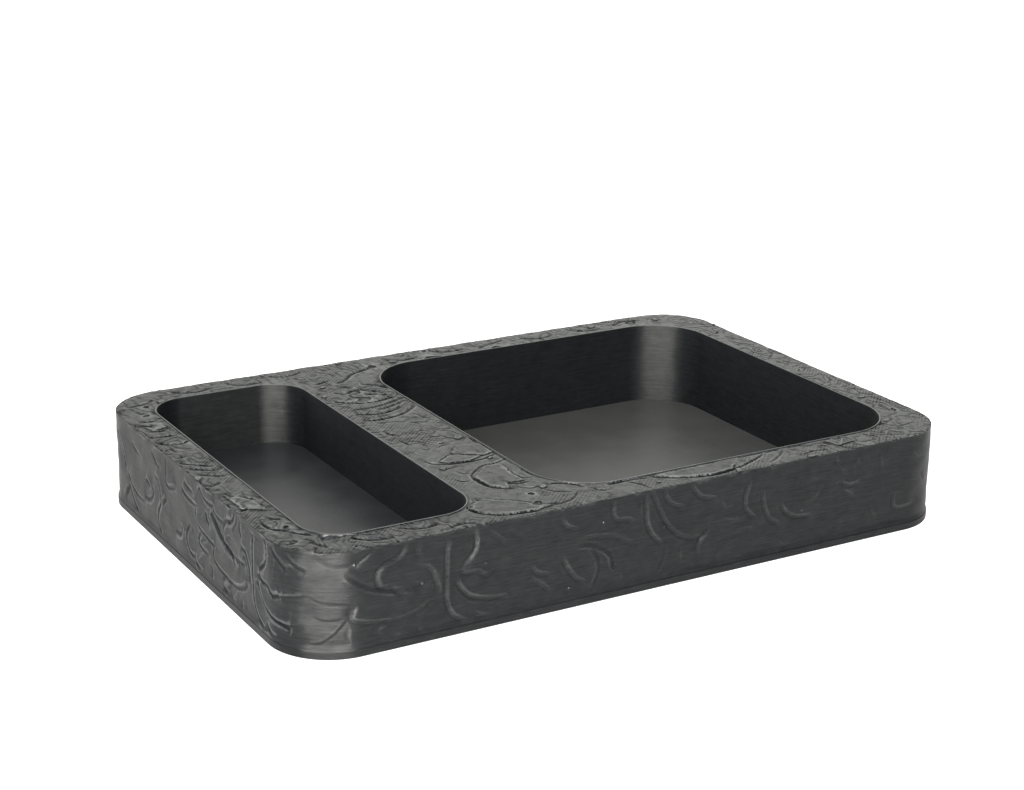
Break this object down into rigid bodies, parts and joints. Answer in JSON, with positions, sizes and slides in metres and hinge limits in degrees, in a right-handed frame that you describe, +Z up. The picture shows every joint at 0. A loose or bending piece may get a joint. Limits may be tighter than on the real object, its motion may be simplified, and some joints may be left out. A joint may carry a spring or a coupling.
{
  "type": "dice tray",
  "caption": "Low rolling tray with a broad well beside a narrow, shallower one, rounded corners, carved walls and rim, and a raised lip round each well.",
  "frame": {"origin": "centre of the flat underside, which stands on the table", "axes": "+Z up, +X along the tray's length from the small well to the large well, +Y along its width, away from someone who faces the long front side with the small well on the left"},
  "size_m": [0.19, 0.128, 0.026],
  "materials": {
    "printed_plastic": "satin black, with fine print layers on the walls and fine diagonal lines on the flat faces"
  },
  "bodies": {
    "root": {"tray_body": "printed_plastic"}
  },
  "joints": []
}
